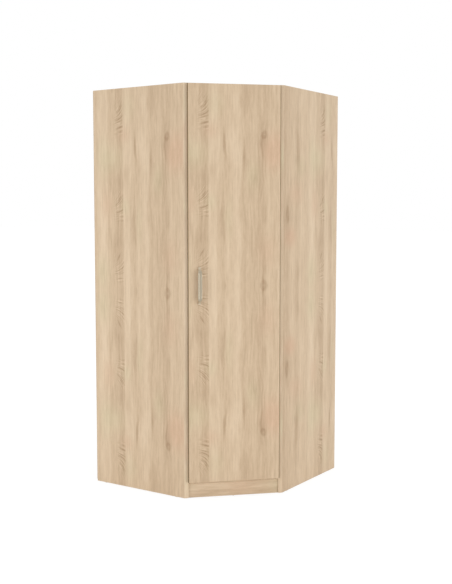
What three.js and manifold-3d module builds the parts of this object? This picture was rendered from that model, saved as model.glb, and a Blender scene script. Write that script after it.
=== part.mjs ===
// Corner wardrobe with one diagonal door, in laminated board.
// Millimetres, +Z up, origin on the floor under the middle of the bounding box.
// The room corner is at -X +Y: one back panel stands on the -X wall, the other on the +Y wall.
// The door looks towards +X -Y. Its hinges are on the right of someone who faces it.
import * as THREE from 'three';
import { mergeVertices } from 'three/addons/utils/BufferGeometryUtils.js';
import Module from 'manifold-3d';

const wasm = await Module();
wasm.setup();

// Cabinet
const wallSide = 1000;          // along each room wall
const frontCut = 382;           // what the diagonal front cuts off each wall side
const height = 2200;
const boardThick = 16;
const backThick = 3;
const backEdgeInset = 1.5;      // back panels stop short of the side panels' faces
const backFootGap = 12;
const backTopDrop = 2;
const glideHeight = 3;
const glideRadius = 7.5;
const glideInset = 60;          // from a board's end to the glide's centre

// Plinth, floor, top and inside
const plinthHeight = 80;        // top of the plinth above the floor
const plinthSetback = 6;        // behind the side panels' front strips
const panelSetback = 1;         // top and bottom boards behind the strips
const shelfSetback = 30;        // hat shelf behind the strips
const hatSpace = 338;           // clear height between the hat shelf and the top panel
const shelfGap = 1;             // shelf to side panels and backs
const postWidth = 80;

// Shelf pins
const pinRadius = 2.5;
const pinHoleRadius = 2.8;
const pinDepth = 9;
const pinHoleDepth = 10;
const pinHeadWidth = 9;
const pinHeadLength = 11;
const pinHeadHeight = 7;
const pinFrontInset = 60;       // from the shelf's front end along a side panel
const pinRearInset = 70;        // from the back panel

// Hanging rail
const railRadius = 12.5;
const railWall = 1.5;
const railLength = 900;
const railSetback = 400;        // axis behind the strips
const railDrop = 48;            // axis below the hat shelf
const bracketInset = 60;        // bracket's middle from the rail's end
const bracketWidth = 14;
const bracketRing = 3.5;        // ring's wall
const bracketGap = 0.3;
const bracketStem = 10;
const bracketFootLength = 46;
const bracketFootThick = 3;

// Door
const doorThick = 16;
const doorGap = 2.5;            // door's inner face to the strips
const doorReveal = 20;          // door's edge to the outer front corner
const doorTopDrop = 3;
const doorBottom = 90;          // door's lower edge above the floor
const bumperRadius = 4;
const bumperEdge = 5;           // bumper's centre from the door's edge
const bumperEndInset = 40;
const seatGap = 0.3;

// Handle
const handleLength = 196;
const handleScrewInset = 18;    // screw's centre from the handle's end
const handleLeg = 25;           // sloping leg at each end of the straight grip
const handleProud = 27;         // grip's front face before the door
const handleThick = 7;
const handleWidth = 22;         // across the grip
const handleDish = 1.2;         // depth of the hollow along the grip's front
const handleDishWidth = 15;
const handleFootWidth = 15;
const handleFoot = 6;           // foot's own thickness at the door
const handleInset = 61;         // centre from the door's free edge
const handleZ = 1146;
const screwRadius = 2;
const screwHoleRadius = 2.5;
const screwHeadRadius = 4;
const screwHeadHeight = 2.4;
const screwBite = 3;            // screw's end inside the handle's foot

// Concealed hinges. Places are x, from the door's hinged edge towards its free edge,
// and y, from the door's inner face into the cabinet.
const hingeEndInset = 100;      // outermost hinges from the door's ends
const hingeCount = 4;
const cupCentreX = 22;
const cupRadius = 17.2;
const cupBoreRadius = 17.5;
const cupDepth = 11.2;
const cupBoreDepth = 11.5;
const cupWall = 1;
const flangeThick = 1.1;
const flangeRadius = 19;
const flangeWingLength = 62;
const flangeWingWidth = 17;
const flangeWingX = 28;
const cupScrewPitch = 48;
const cupScrewRadius = 2.6;
const cupPinX = 11;
const cupPinY = -3.2;
const armPinX = 36.5;
const armPinY = 4.6;
const hingePinRadius = 1.2;
const linkBoreRadius = 1.5;
const linkEyeRadius = 2.5;
const linkThick = 2.2;
const linkBow = 5.5;            // bow of the link towards the cup's floor
const linkHalfWidth = 8;
const armCheekGap = 0.3;
const armCheek = 1.8;
const armWeb = 1.6;
const armEyeRadius = 2.4;
const armHalfDepth = 4.5;
const armRise = 13;             // arm's centre line from the side panel
const armKnee = 12;             // knee behind the strip's inner edge
const armEnd = 66;
const plateBase = 2;
const plateStart = 22;
const plateEnd = 60;
const plateHeight = 52;
const plateCorner = 6;
const plateRidgeWidth = 14;
const plateScrewPitch = 32;
const plateScrewRadius = 2.6;

const dishSides = 96;
const overrun = 2;              // cutters pass this far through
const root2 = Math.SQRT2;
const wingDepth = wallSide - frontCut;      // outer face of each side panel, wall to front corner
const half = wallSide / 2;
const inner = half - boardThick;            // side panels' inner faces
const backFace = half - backThick;          // back panels' inner faces
const stripInner = inner - wingDepth;       // y of the right strip's inner edge
const frontWidth = frontCut * root2;
const doorHalf = frontWidth / 2 - doorReveal;
const doorTop = height - doorTopDrop;
const doorFace = -doorGap - doorThick;      // door's outer face, on the front's own depth axis
const bottomTop = plinthHeight + boardThick;
const topUnder = height - boardThick;
const shelfTop = topUnder - hatSpace;
const shelfHeight = shelfTop - boardThick;  // underside of the hat shelf
const cheekInner = linkHalfWidth + armCheekGap;
const cheekOuter = cheekInner + armCheek;

// The front's own frame: u to the right along the door, v back into the cabinet
const planX = (u, v) => wingDepth / 2 + (u - v) / root2;
const planY = (u, v) => -wingDepth / 2 + (u + v) / root2;
// How far a wide door's corner stands past the square of the walls
const doorOverhang = Math.max(0, planX(doorHalf, doorFace) - half);

const wardrobe = new THREE.Group();
wardrobe.position.set(-doorOverhang / 2, doorOverhang / 2, 0);
const front = new THREE.Group();
front.position.set(wingDepth / 2, -wingDepth / 2, 0);
front.rotation.z = Math.PI / 4;
wardrobe.add(front);

// Finishes
const laminate = () => new THREE.MeshStandardMaterial({ color: 0xd8bf9d, roughness: 0.55, metalness: 0 });
const fibreboard = () => new THREE.MeshStandardMaterial({ color: 0xcdbb9f, roughness: 0.8, metalness: 0 });
const nickel = () => new THREE.MeshStandardMaterial({ color: 0xb9b6ae, roughness: 0.35, metalness: 0.9 });
const chrome = () => new THREE.MeshStandardMaterial({ color: 0xd4d6d8, roughness: 0.15, metalness: 1 });
const zinc = () => new THREE.MeshStandardMaterial({ color: 0xa9abad, roughness: 0.4, metalness: 0.9 });
const plastic = () => new THREE.MeshStandardMaterial({ color: 0xe6e3dc, roughness: 0.5, metalness: 0 });

// Turning a drawn outline to the plane that it belongs to
const AXIS_X = new THREE.Vector3(1, 0, 0);
const AXIS_Y = new THREE.Vector3(0, 1, 0);
const AXIS_Z = new THREE.Vector3(0, 0, 1);
const alongX = new THREE.Matrix4().makeBasis(AXIS_Y, AXIS_Z, AXIS_X);
const alongY = new THREE.Matrix4().makeBasis(AXIS_X, AXIS_Z, AXIS_Y.clone().negate());

function addPiece(group, name, geometry, material) {
  const mesh = new THREE.Mesh(geometry, material);
  mesh.name = name;
  group.add(mesh);
  return mesh;
}

// A closed geometry as a solid, and back
function solid(geometry) {
  geometry.deleteAttribute('normal');
  geometry.deleteAttribute('uv');
  const merged = mergeVertices(geometry);
  return new wasm.Manifold(new wasm.Mesh({
    numProp: 3,
    vertProperties: Float32Array.from(merged.attributes.position.array),
    triVerts: Uint32Array.from(merged.index.array),
  }));
}

function geometryOf(body) {
  const mesh = body.getMesh();
  const geometry = new THREE.BufferGeometry();
  geometry.setAttribute('position', new THREE.BufferAttribute(mesh.vertProperties, 3));
  geometry.setIndex(new THREE.BufferAttribute(mesh.triVerts, 1));
  return geometry.toNonIndexed();
}

function flatShape(points) {
  return new THREE.Shape(points.map(([x, y]) => new THREE.Vector2(x, y)));
}

// A board or plate of one outline between two heights
function slab(shape, low, high, segments = 8) {
  const geometry = new THREE.ExtrudeGeometry(shape, {
    depth: high - low, bevelEnabled: false, curveSegments: segments,
  });
  return geometry.translate(0, 0, low);
}

// The same, drawn in Y and Z and run along X
function slabX(shape, low, high, segments = 8) {
  return slab(shape, low, high, segments).applyMatrix4(alongX);
}

// The same, drawn in X and Z and run along Y
function slabY(shape, low, high, segments = 8) {
  return slab(shape, -high, -low, segments).applyMatrix4(alongY);
}

function box(x0, x1, y0, y1, z0, z1) {
  return new THREE.BoxGeometry(x1 - x0, y1 - y0, z1 - z0)
    .translate((x0 + x1) / 2, (y0 + y1) / 2, (z0 + z1) / 2);
}

function rod(radius, low, high, sides = 24) {
  return new THREE.CylinderGeometry(radius, radius, high - low, sides)
    .rotateX(Math.PI / 2).translate(0, 0, (low + high) / 2);
}

function rodY(radius, low, high, sides = 24) {
  return new THREE.CylinderGeometry(radius, radius, high - low, sides)
    .translate(0, (low + high) / 2, 0);
}

// The left half's plan turned over to the right
const mirrored = (points) => points.map(([x, y]) => [-y, -x]);

// Cabinet boards

function sidePanelPlan() {
  return [
    [-backFace, -half],
    [wingDepth - half, -half],
    [wingDepth - inner, -inner],
    [-backFace, -inner],
  ];
}

// Places of the hat shelf's pins along a side panel, from the rear
const pinPlaces = [
  -backFace + pinRearInset,
  wingDepth - inner - shelfSetback * root2 - pinFrontInset,
];

function addSidePanels() {
  const plan = sidePanelPlan();
  let left = solid(slab(flatShape(plan), glideHeight, height));
  let right = solid(slab(flatShape(mirrored(plan)), glideHeight, height));
  const pinZ = shelfHeight - pinHeadHeight / 2;
  for (const place of pinPlaces) {
    const bore = rodY(pinHoleRadius, -inner - pinHoleDepth, -inner + overrun);
    left = left.subtract(solid(bore.translate(place, 0, pinZ)));
    const rightBore = rodY(pinHoleRadius, -overrun, pinHoleDepth);
    rightBore.rotateZ(-Math.PI / 2).translate(inner, -place, pinZ);
    right = right.subtract(solid(rightBore));
  }
  addPiece(wardrobe, 'side_panel_left', geometryOf(left), laminate());
  addPiece(wardrobe, 'side_panel_right', geometryOf(right), laminate());
}

// The five-sided plan inside the carcass, its front edge a setback behind the strips
function insidePlan(setback, gap) {
  const slice = wingDepth - setback * root2;
  const side = inner - gap;
  const rear = backFace - gap;
  return [
    [-rear, -side],
    [slice - side, -side],
    [side, side - slice],
    [side, rear],
    [-rear, rear],
  ];
}

function addFloorAndTop() {
  const plan = flatShape(insidePlan(panelSetback, 0));
  addPiece(wardrobe, 'bottom_panel', slab(plan, plinthHeight, bottomTop), laminate());
  addPiece(wardrobe, 'top_panel', slab(plan, topUnder, height), laminate());
}

// The post stands on the bottom panel against the -X back and gives both backs a nailing edge
function addRearPost() {
  const post = box(-backFace, -backFace + boardThick, backFace - postWidth, backFace, bottomTop, topUnder);
  addPiece(wardrobe, 'rear_post', post, laminate());
}

function addHatShelf() {
  const plan = insidePlan(shelfSetback, shelfGap);
  const rear = backFace - shelfGap;
  const notchX = -backFace + boardThick + shelfGap;
  const notchY = backFace - postWidth - shelfGap;
  plan.pop();
  plan.push([notchX, rear], [notchX, notchY], [-rear, notchY]);
  addPiece(wardrobe, 'hat_shelf', slab(flatShape(plan), shelfHeight, shelfTop), laminate());
}

// One support pin, its round end along -Y in a drilled hole and its head under the shelf
function shelfPin() {
  const head = box(-pinHeadWidth / 2, pinHeadWidth / 2, 0, pinHeadLength, 0, pinHeadHeight);
  const shank = rodY(pinRadius, -pinDepth, pinHeadLength / 2).translate(0, 0, pinHeadHeight / 2);
  return geometryOf(solid(head).add(solid(shank)));
}

function addShelfPins() {
  const low = shelfHeight - pinHeadHeight;
  pinPlaces.forEach((place, i) => {
    const left = shelfPin().translate(place, -inner, low);
    addPiece(wardrobe, `shelf_pin_left_${i + 1}`, left, zinc());
    const right = shelfPin().rotateZ(Math.PI / 2).translate(inner, -place, low);
    addPiece(wardrobe, `shelf_pin_right_${i + 1}`, right, zinc());
  });
}

function addBackPanels() {
  const low = backFootGap;
  const high = height - backTopDrop;
  const end = half - backEdgeInset;
  addPiece(wardrobe, 'back_panel_right', box(-half, end, backFace, half, low, high), fibreboard());
  addPiece(wardrobe, 'back_panel_left', box(-half, -backFace, -end, backFace, low, high), fibreboard());
}

function addPlinths() {
  const plan = [];
  for (const [back, order] of [[plinthSetback, 1], [plinthSetback + boardThick, -1]]) {
    const slice = wingDepth - back * root2;
    const ends = [[slice - inner, -inner], [inner, inner - slice]];
    plan.push(...(order > 0 ? ends : ends.reverse()));
  }
  addPiece(wardrobe, 'plinth_front', slab(flatShape(plan), glideHeight, plinthHeight), laminate());
  const shelfFree = backFace - boardThick;
  const right = box(-shelfFree, inner, shelfFree, backFace, glideHeight, plinthHeight);
  const left = box(-backFace, -shelfFree, -inner, backFace, glideHeight, plinthHeight);
  addPiece(wardrobe, 'plinth_rear_right', right, laminate());
  addPiece(wardrobe, 'plinth_rear_left', left, laminate());
}

// Nail-on glides under the side panels, the rear plinths and the front plinth
function addGlides() {
  const edge = half - boardThick / 2;
  const rear = backFace - boardThick / 2;
  const cornerRear = wingDepth - half - glideInset;
  const plinthMid = plinthSetback + boardThick / 2;
  const spots = {
    left_rear: [-backFace + glideInset, -edge],
    left_front: [cornerRear, -edge],
    right_rear: [edge, backFace - glideInset],
    right_front: [edge, -cornerRear],
    corner: [-rear, rear - glideInset],
    front: [planX(0, plinthMid), planY(0, plinthMid)],
  };
  for (const [name, [x, y]] of Object.entries(spots)) {
    addPiece(wardrobe, `glide_${name}`, rod(glideRadius, 0, glideHeight).translate(x, y, 0), plastic());
  }
}

// Hanging rail, parallel to the door, under the hat shelf

const railZ = shelfHeight - railDrop;

function addRail() {
  const ring = new THREE.Shape().absarc(railSetback, railZ, railRadius, 0, Math.PI * 2);
  ring.holes.push(new THREE.Path().absarc(railSetback, railZ, railRadius - railWall, 0, Math.PI * 2));
  const tube = slabX(ring, -railLength / 2, railLength / 2, 32);
  addPiece(front, 'hanging_rail', tube, chrome());
}

// A ring on a stem below a foot plate that is screwed under the shelf
function addRailBrackets() {
  const bore = railRadius + bracketGap;
  const outer = bore + bracketRing;
  const low = railZ + (bore + outer) / 2;
  for (const [name, middle] of [
    ['rail_bracket_left', -railLength / 2 + bracketInset],
    ['rail_bracket_right', railLength / 2 - bracketInset],
  ]) {
    const from = middle - bracketWidth / 2;
    const to = middle + bracketWidth / 2;
    const ring = new THREE.Shape().absarc(railSetback, railZ, outer, 0, Math.PI * 2);
    const hole = new THREE.Shape().absarc(railSetback, railZ, bore, 0, Math.PI * 2);
    const stem = box(from, to, railSetback - bracketStem / 2, railSetback + bracketStem / 2, low, shelfHeight);
    const foot = box(from, to, railSetback - bracketFootLength / 2, railSetback + bracketFootLength / 2,
      shelfHeight - bracketFootThick, shelfHeight);
    const body = solid(slabX(ring, from, to, 16)).add(solid(stem)).add(solid(foot))
      .subtract(solid(slabX(hole, from - overrun, to + overrun, 16)));
    addPiece(front, name, geometryOf(body), chrome());
  }
}

// Door

const hingeStep = (doorTop - doorBottom - 2 * hingeEndInset) / (hingeCount - 1);
const hingeHeights = Array.from({ length: hingeCount }, (_, i) => doorBottom + hingeEndInset + i * hingeStep);
const hingeU = (x) => doorHalf - x;
const hingeV = (y) => -doorGap + y;
const handleU = -doorHalf + handleInset;
const handleScrewHalf = handleLength / 2 - handleScrewInset;
const handleScrewHeights = [handleZ - handleScrewHalf, handleZ + handleScrewHalf];

function addDoor() {
  let door = solid(box(-doorHalf, doorHalf, doorFace, -doorGap, doorBottom, doorTop));
  for (const z of hingeHeights) {
    const bore = rodY(cupBoreRadius, -cupBoreDepth, overrun, 40);
    door = door.subtract(solid(bore.translate(hingeU(cupCentreX), -doorGap, z)));
  }
  for (const z of handleScrewHeights) {
    const hole = rodY(screwHoleRadius, doorFace - overrun, -doorGap + overrun);
    door = door.subtract(solid(hole.translate(handleU, 0, z)));
  }
  addPiece(front, 'door', geometryOf(door), laminate());
}

// Soft stops at the free edge, in the gap before the left strip
function addBumpers() {
  const u = -doorHalf + bumperEdge;
  const places = { bottom: doorBottom + bumperEndInset, top: doorTop - bumperEndInset };
  for (const [name, z] of Object.entries(places)) {
    const pad = rodY(bumperRadius, -doorGap + seatGap, -seatGap).translate(u, 0, z);
    addPiece(front, `door_bumper_${name}`, pad, plastic());
  }
}

// Bow handle: a side outline with sloping legs, met by a front outline that narrows to the feet,
// with a shallow hollow down the grip's front
function addHandle() {
  const face = doorFace - seatGap;
  const end = handleLength / 2;
  const flat = end - handleLeg;
  const grip = face - handleProud;
  const gripBack = grip + handleThick;
  const under = face - handleFoot;
  const side = new THREE.Shape();
  side.moveTo(face, -end);
  side.lineTo(under, -end);
  side.quadraticCurveTo(grip, -flat - handleFoot, grip, -flat + handleFoot);
  side.lineTo(grip, flat - handleFoot);
  side.quadraticCurveTo(grip, flat + handleFoot, under, end);
  side.lineTo(face, end);
  side.lineTo(face, flat);
  side.quadraticCurveTo(gripBack, flat, gripBack, flat - 2 * handleThick);
  side.lineTo(gripBack, -flat + 2 * handleThick);
  side.quadraticCurveTo(gripBack, -flat, face, -flat);
  side.closePath();
  const wide = handleWidth / 2;
  const narrow = handleFootWidth / 2;
  const outline = flatShape([
    [-narrow, -end - overrun], [narrow, -end - overrun], [wide, -flat], [wide, flat],
    [narrow, end + overrun], [-narrow, end + overrun], [-wide, flat], [-wide, -flat],
  ]);
  let body = solid(slabX(side, -wide, wide, 8))
    .intersect(solid(slabY(outline, grip - overrun, face + overrun)));
  for (const sign of [-1, 1]) {
    const tap = rodY(screwHoleRadius, face - screwBite - seatGap, face + overrun, 16);
    body = body.subtract(solid(tap.translate(0, 0, sign * handleScrewHalf)));
  }
  const dishRadius = (handleDishWidth ** 2 / 4 + handleDish ** 2) / (2 * handleDish);
  const dish = rod(dishRadius, -flat + handleFoot, flat - handleFoot, dishSides);
  body = body.subtract(solid(dish.translate(0, grip + handleDish - dishRadius, 0)));
  addPiece(front, 'handle', geometryOf(body).translate(handleU, 0, handleZ), nickel());
}

function addHandleScrews() {
  handleScrewHeights.forEach((z, i) => {
    const shank = rodY(screwRadius, doorFace - seatGap - screwBite, -doorGap + overrun, 16);
    const head = rodY(screwHeadRadius, -doorGap + seatGap, -doorGap + seatGap + screwHeadHeight, 16);
    const screw = geometryOf(solid(shank).add(solid(head)));
    addPiece(front, `handle_screw_${i + 1}`, screw.translate(handleU, 0, z), zinc());
  });
}

// Hinges

// Cup: a pressed dish with its flange on the door's inner face and a pin across it
function hingeCup() {
  const dish = new THREE.LatheGeometry([
    [0, -cupDepth], [cupRadius, -cupDepth], [cupRadius, seatGap + flangeThick],
    [cupRadius - cupWall, seatGap + flangeThick], [cupRadius - cupWall, -cupDepth + cupWall],
    [0, -cupDepth + cupWall],
  ].map(([r, y]) => new THREE.Vector2(r, y)), 40);
  const wingLow = -flangeWingLength / 2 + flangeWingWidth / 2;
  const wingHigh = -wingLow;
  const shift = cupCentreX - flangeWingX;
  const wing = new THREE.Shape();
  wing.absarc(shift, wingHigh, flangeWingWidth / 2, 0, Math.PI);
  wing.absarc(shift, wingLow, flangeWingWidth / 2, Math.PI, 2 * Math.PI);
  const low = seatGap;
  const high = seatGap + flangeThick;
  const mouth = solid(rodY(cupRadius - cupWall, low - overrun, high + overrun, 40));
  let flange = solid(slabY(wing, low, high, 8)).add(solid(rodY(flangeRadius, low, high, 40)))
    .subtract(mouth);
  for (const sign of [-1, 1]) {
    const hole = rodY(cupScrewRadius, low - overrun, high + overrun, 16);
    flange = flange.subtract(solid(hole.translate(shift, 0, sign * cupScrewPitch / 2)));
  }
  const reach = cupRadius - cupWall / 2;
  const across = cupCentreX - cupPinX;
  const pinHalf = Math.sqrt(reach * reach - across * across);
  const pin = rod(hingePinRadius, -pinHalf, pinHalf, 12).translate(across, cupPinY, 0);
  return solid(dish).add(flange).add(solid(pin));
}

// Link: a bowed strip between two eyes
function hingeLink() {
  const a = new THREE.Vector2(-cupPinX, cupPinY);
  const b = new THREE.Vector2(-armPinX, armPinY);
  const chord = b.clone().sub(a);
  const radius = (chord.lengthSq() / 4 + linkBow * linkBow) / (2 * linkBow);
  const normal = new THREE.Vector2(chord.y, -chord.x).normalize();
  const centre = a.clone().add(b).multiplyScalar(1 / 2).addScaledVector(normal, radius - linkBow);
  const from = Math.atan2(a.y - centre.y, a.x - centre.x);
  const to = Math.atan2(b.y - centre.y, b.x - centre.x);
  const strip = new THREE.Shape();
  strip.absarc(centre.x, centre.y, radius + linkThick / 2, from, to, true);
  strip.absarc(centre.x, centre.y, radius - linkThick / 2, to, from, false);
  let link = solid(slab(strip, -linkHalfWidth, linkHalfWidth, 8));
  for (const eye of [a, b]) {
    const barrel = rod(linkEyeRadius, -linkHalfWidth, linkHalfWidth, 20);
    link = link.add(solid(barrel.translate(eye.x, eye.y, 0)));
  }
  for (const eye of [a, b]) {
    const bore = rod(linkBoreRadius, -linkHalfWidth - overrun, linkHalfWidth + overrun, 16);
    link = link.subtract(solid(bore.translate(eye.x, eye.y, 0)));
  }
  return link;
}

// Outline at two distances beside a line of plan points
function besideLine(points, leftWidths, rightWidths) {
  const left = [];
  const right = [];
  points.forEach((point, i) => {
    const before = points[Math.max(i - 1, 0)];
    const after = points[Math.min(i + 1, points.length - 1)];
    const way = after.clone().sub(before).normalize();
    const normal = new THREE.Vector2(-way.y, way.x);
    left.push(point.clone().addScaledVector(normal, leftWidths[i]));
    right.push(point.clone().addScaledVector(normal, -rightWidths[i]));
  });
  return new THREE.Shape([...left, ...right.reverse()]);
}

// Arm: a channel that grips the mounting plate's ridge and bends to the pin over the cup
function hingeArm() {
  const pin = new THREE.Vector2(
    planX(hingeU(armPinX), hingeV(armPinY)),
    planY(hingeU(armPinX), hingeV(armPinY)),
  );
  const line = [
    pin,
    new THREE.Vector2(inner - armRise, stripInner + armKnee),
    new THREE.Vector2(inner - armRise, stripInner + (armKnee + armEnd) / 2),
    new THREE.Vector2(inner - armRise, stripInner + armEnd),
  ];
  const outerHalf = [armEyeRadius, armHalfDepth, armHalfDepth, armHalfDepth];
  const webInside = outerHalf.map((w) => w - armWeb);
  const openSide = outerHalf.map((w) => w + overrun);
  let arm = solid(slab(besideLine(line, outerHalf, outerHalf), -cheekOuter, cheekOuter));
  arm = arm.add(solid(rod(armEyeRadius, -cheekOuter, cheekOuter, 20).translate(pin.x, pin.y, 0)));
  arm = arm.subtract(solid(slab(besideLine(line, webInside, openSide), -cheekInner, cheekInner)));
  const sweep = linkEyeRadius + armCheekGap;
  arm = arm.subtract(solid(rod(sweep, -cheekInner, cheekInner, 20).translate(pin.x, pin.y, 0)));
  return arm.add(solid(rod(hingePinRadius, -cheekOuter, cheekOuter, 12).translate(pin.x, pin.y, 0)));
}

// Mounting plate on the side panel's inner face, with two screw holes and the ridge for the arm
function hingePlate() {
  const low = stripInner + plateStart;
  const high = stripInner + plateEnd;
  const tall = plateHeight / 2;
  const outline = new THREE.Shape();
  outline.absarc(high - plateCorner, tall - plateCorner, plateCorner, 0, Math.PI / 2);
  outline.absarc(low + plateCorner, tall - plateCorner, plateCorner, Math.PI / 2, Math.PI);
  outline.absarc(low + plateCorner, -tall + plateCorner, plateCorner, Math.PI, 1.5 * Math.PI);
  outline.absarc(high - plateCorner, -tall + plateCorner, plateCorner, 1.5 * Math.PI, 2 * Math.PI);
  const ridgeTop = armRise + armHalfDepth - armWeb - seatGap;
  const ridgeHalf = plateRidgeWidth / 2;
  let plate = solid(slabX(outline, inner - plateBase, inner, 6))
    .add(solid(box(inner - ridgeTop, inner - plateBase / 2, low, high, -ridgeHalf, ridgeHalf)));
  for (const sign of [-1, 1]) {
    const hole = rodY(plateScrewRadius, -overrun, plateBase + overrun, 16)
      .rotateZ(Math.PI / 2).translate(inner, (low + high) / 2, sign * plateScrewPitch / 2);
    plate = plate.subtract(solid(hole));
  }
  return plate;
}

function addHinges() {
  const plate = hingePlate();
  const arm = hingeArm();
  const link = hingeLink();
  const cup = hingeCup();
  hingeHeights.forEach((z, i) => {
    const n = i + 1;
    addPiece(wardrobe, `hinge_plate_${n}`, geometryOf(plate).translate(0, 0, z), zinc());
    addPiece(wardrobe, `hinge_arm_${n}`, geometryOf(arm).translate(0, 0, z), zinc());
    addPiece(front, `hinge_link_${n}`, geometryOf(link).translate(doorHalf, -doorGap, z), zinc());
    addPiece(front, `hinge_cup_${n}`, geometryOf(cup).translate(hingeU(cupCentreX), -doorGap, z), zinc());
  });
}

addSidePanels();
addFloorAndTop();
addRearPost();
addHatShelf();
addShelfPins();
addBackPanels();
addPlinths();
addGlides();
addRail();
addRailBrackets();
addDoor();
addBumpers();
addHandle();
addHandleScrews();
addHinges();

export default wardrobe;
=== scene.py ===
import math

import bmesh
import bpy
import numpy as np
from bpy.props import FloatProperty, FloatVectorProperty, IntProperty, PointerProperty
from bpy.types import Operator, Panel, PropertyGroup
from mathutils import Euler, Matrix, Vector


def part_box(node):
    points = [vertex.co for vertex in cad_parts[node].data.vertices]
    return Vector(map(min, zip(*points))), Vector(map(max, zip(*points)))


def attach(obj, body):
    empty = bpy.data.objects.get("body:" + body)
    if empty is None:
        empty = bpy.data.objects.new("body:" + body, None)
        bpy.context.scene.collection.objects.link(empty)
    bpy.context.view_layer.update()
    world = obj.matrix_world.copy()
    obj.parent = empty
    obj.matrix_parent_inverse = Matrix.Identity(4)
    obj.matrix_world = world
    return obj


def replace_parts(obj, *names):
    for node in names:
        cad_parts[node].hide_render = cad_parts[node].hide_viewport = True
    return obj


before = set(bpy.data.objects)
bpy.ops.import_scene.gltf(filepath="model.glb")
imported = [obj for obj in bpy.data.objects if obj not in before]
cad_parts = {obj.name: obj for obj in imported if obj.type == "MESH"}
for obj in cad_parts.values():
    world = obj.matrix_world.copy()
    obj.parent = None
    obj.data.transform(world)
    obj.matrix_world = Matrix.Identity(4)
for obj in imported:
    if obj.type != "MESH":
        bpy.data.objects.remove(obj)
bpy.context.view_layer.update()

bl_info = {
    "name": "Corner Wardrobe",
    "version": (1, 0, 0),
    "blender": (4, 5, 0),
    "location": "View3D > Sidebar > Wardrobe",
    "description": "Dresses a corner wardrobe's frame with oak laminate, fittings and a stage",
    "category": "Add Mesh",
}

# Directions of the cabinet: its walls run along X and Y, and its front is turned by 45 degrees
EAST = np.array([1.0, 0.0, 0.0])
NORTH = np.array([0.0, 1.0, 0.0])
UP = np.array([0.0, 0.0, 1.0])
TO_RIGHT = (EAST + NORTH) / math.sqrt(2)  # along the door, away from its handle side
TO_BACK = (NORTH - EAST) / math.sqrt(2)  # from the door into the cabinet


def corners(node):
    """The node's lowest and highest corner as arrays."""
    low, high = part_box(node)
    return np.array(low), np.array(high)


def centre_of(node):
    """The middle of the node's box."""
    low, high = corners(node)
    return (low + high) / 2


def door_place(right, back, up):
    """Places given along the door, into the cabinet and up, single ones or whole arrays."""
    return sum(np.multiply.outer(*part) for part in ((right, TO_RIGHT), (back, TO_BACK), (up, UP)))


def places_of(mesh):
    """All vertices of a mesh as an array."""
    flat = np.empty(len(mesh.vertices) * 3)
    mesh.vertices.foreach_get("co", flat)
    return flat.reshape(-1, 3)


def span(node, direction):
    """The node's least and greatest place along a direction."""
    along = places_of(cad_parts[node].data) @ direction
    return along.min(), along.max()


HINGES = (1, 2, 3, 4)
DOOR_LEFT, DOOR_RIGHT = span("door", TO_RIGHT)
DOOR_FRONT, DOOR_INNER = span("door", TO_BACK)
DOOR_BOTTOM, DOOR_TOP = span("door", UP)
LEFT_PANEL_LOW, LEFT_PANEL_HIGH = corners("side_panel_left")
RIGHT_PANEL_LOW, RIGHT_PANEL_HIGH = corners("side_panel_right")
HEIGHT = LEFT_PANEL_HIGH[2]
BOARD = RIGHT_PANEL_HIGH[0] - corners("top_panel")[1][0]
LEFT_FACE, RIGHT_FACE = LEFT_PANEL_LOW[1] + BOARD, RIGHT_PANEL_HIGH[0] - BOARD


# Surfaces

CREASE = math.radians(35)  # edges sharper than this stay crisp
LEVEL = math.radians(1)  # triangles this near to level with each other are one face
SAME_PLACE = 1e-5  # points this close are one
ON_FACE = 1e-4  # points this close to an outer face are on it
ROUND_POINTS = 7  # along the quarter and half circles of small edges


def grid_faces(rows, columns, wrap_rows):
    """Quads between neighbouring points of a grid numbered row by row, closed over its columns."""
    row = np.arange(rows if wrap_rows else rows - 1)
    row, column = np.meshgrid(row, np.arange(columns), indexing="ij")
    next_row, next_column = (row + 1) % rows, (column + 1) % columns
    quads = np.stack([
        row * columns + column, row * columns + next_column,
        next_row * columns + next_column, next_row * columns + column,
    ], axis=-1)
    return quads.reshape(-1, 4)


def swept(grid, wrap_rows=False):
    """A closed block from a grid (rows, columns, 3) whose columns run round each ring. The end
    rings are closed by a flat face each, unless the rows close on themselves."""
    rows, columns = grid.shape[:2]
    faces = grid_faces(rows, columns, wrap_rows).tolist()
    if not wrap_rows:
        faces.append(list(range(columns))[::-1])
        faces.append(list(range((rows - 1) * columns, rows * columns)))
    points = grid.reshape(-1, 3)
    return points, facing_out(points, faces)


def facing_out(points, faces):
    """The faces, all turned over if the signed volume of their quads and end faces is negative."""
    centre = points.mean(axis=0)
    volume = 0.0
    for size in {len(face) for face in faces}:
        fan = points[np.array([face for face in faces if len(face) == size])] - centre
        for k in range(1, size - 1):
            volume += np.sum(fan[:, 0] * np.cross(fan[:, k], fan[:, k + 1]))
    return faces if volume > 0 else [face[::-1] for face in faces]


def revolved(profile, sides, wrap_rows=False):
    """A profile of (radius, height) pairs turned about the Z axis:
    x = radius cos angle, y = radius sin angle, z = height."""
    radius, height = np.array(profile, float).T
    angle = np.linspace(0, 2 * np.pi, sides, endpoint=False)
    x = radius[:, None] * np.cos(angle)
    y = radius[:, None] * np.sin(angle)
    z = np.broadcast_to(height[:, None], x.shape)
    return swept(np.stack([x, y, z], axis=-1), wrap_rows)


def placed(block, origin, across, along, out):
    """The block with its own X, Y and Z laid along three directions, from an origin."""
    points, faces = block
    points = np.asarray(origin) + points @ np.array([across, along, out])
    return points, facing_out(points, faces)


def face_normals(mesh):
    """The normals of all faces as an array."""
    flat = np.empty(len(mesh.polygons) * 3)
    mesh.polygons.foreach_get("normal", flat)
    return flat.reshape(-1, 3)


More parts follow.
